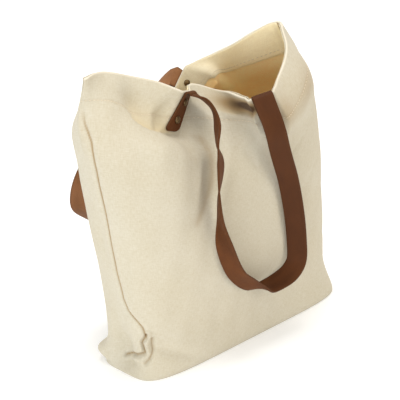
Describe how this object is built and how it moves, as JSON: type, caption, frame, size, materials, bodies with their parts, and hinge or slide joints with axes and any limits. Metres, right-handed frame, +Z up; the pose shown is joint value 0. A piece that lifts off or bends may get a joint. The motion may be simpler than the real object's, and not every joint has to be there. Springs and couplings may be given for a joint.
{
  "type": "shopper bag",
  "caption": "Open-topped canvas shopper bag standing on a flat bottom, with a turned-in hem, leather carrying straps front and back, and riveted strap ends.",
  "frame": {"origin": "under the middle of the whole bag's bounding box, on the floor", "axes": "+Z up from the bottom to the mouth, the front faces -Y, +X is the bag's right seen from the front"},
  "size_m": [0.3468, 0.2264, 0.363],
  "materials": {
    "canvas": "natural undyed cotton canvas, plain weave, matt",
    "leather": "brown vegetable-tanned leather, soft sheen",
    "brass": "darkened brass, satin"
  },
  "bodies": {
    "root": {"canvas_body": "canvas", "top_hem": "canvas", "front_strap": "leather", "back_strap": "leather", "front_left_upper_rivet": "brass", "front_left_lower_rivet": "brass", "front_right_upper_rivet": "brass", "front_right_lower_rivet": "brass", "back_right_upper_rivet": "brass", "back_right_lower_rivet": "brass", "back_left_upper_rivet": "brass", "back_left_lower_rivet": "brass"}
  },
  "joints": []
}
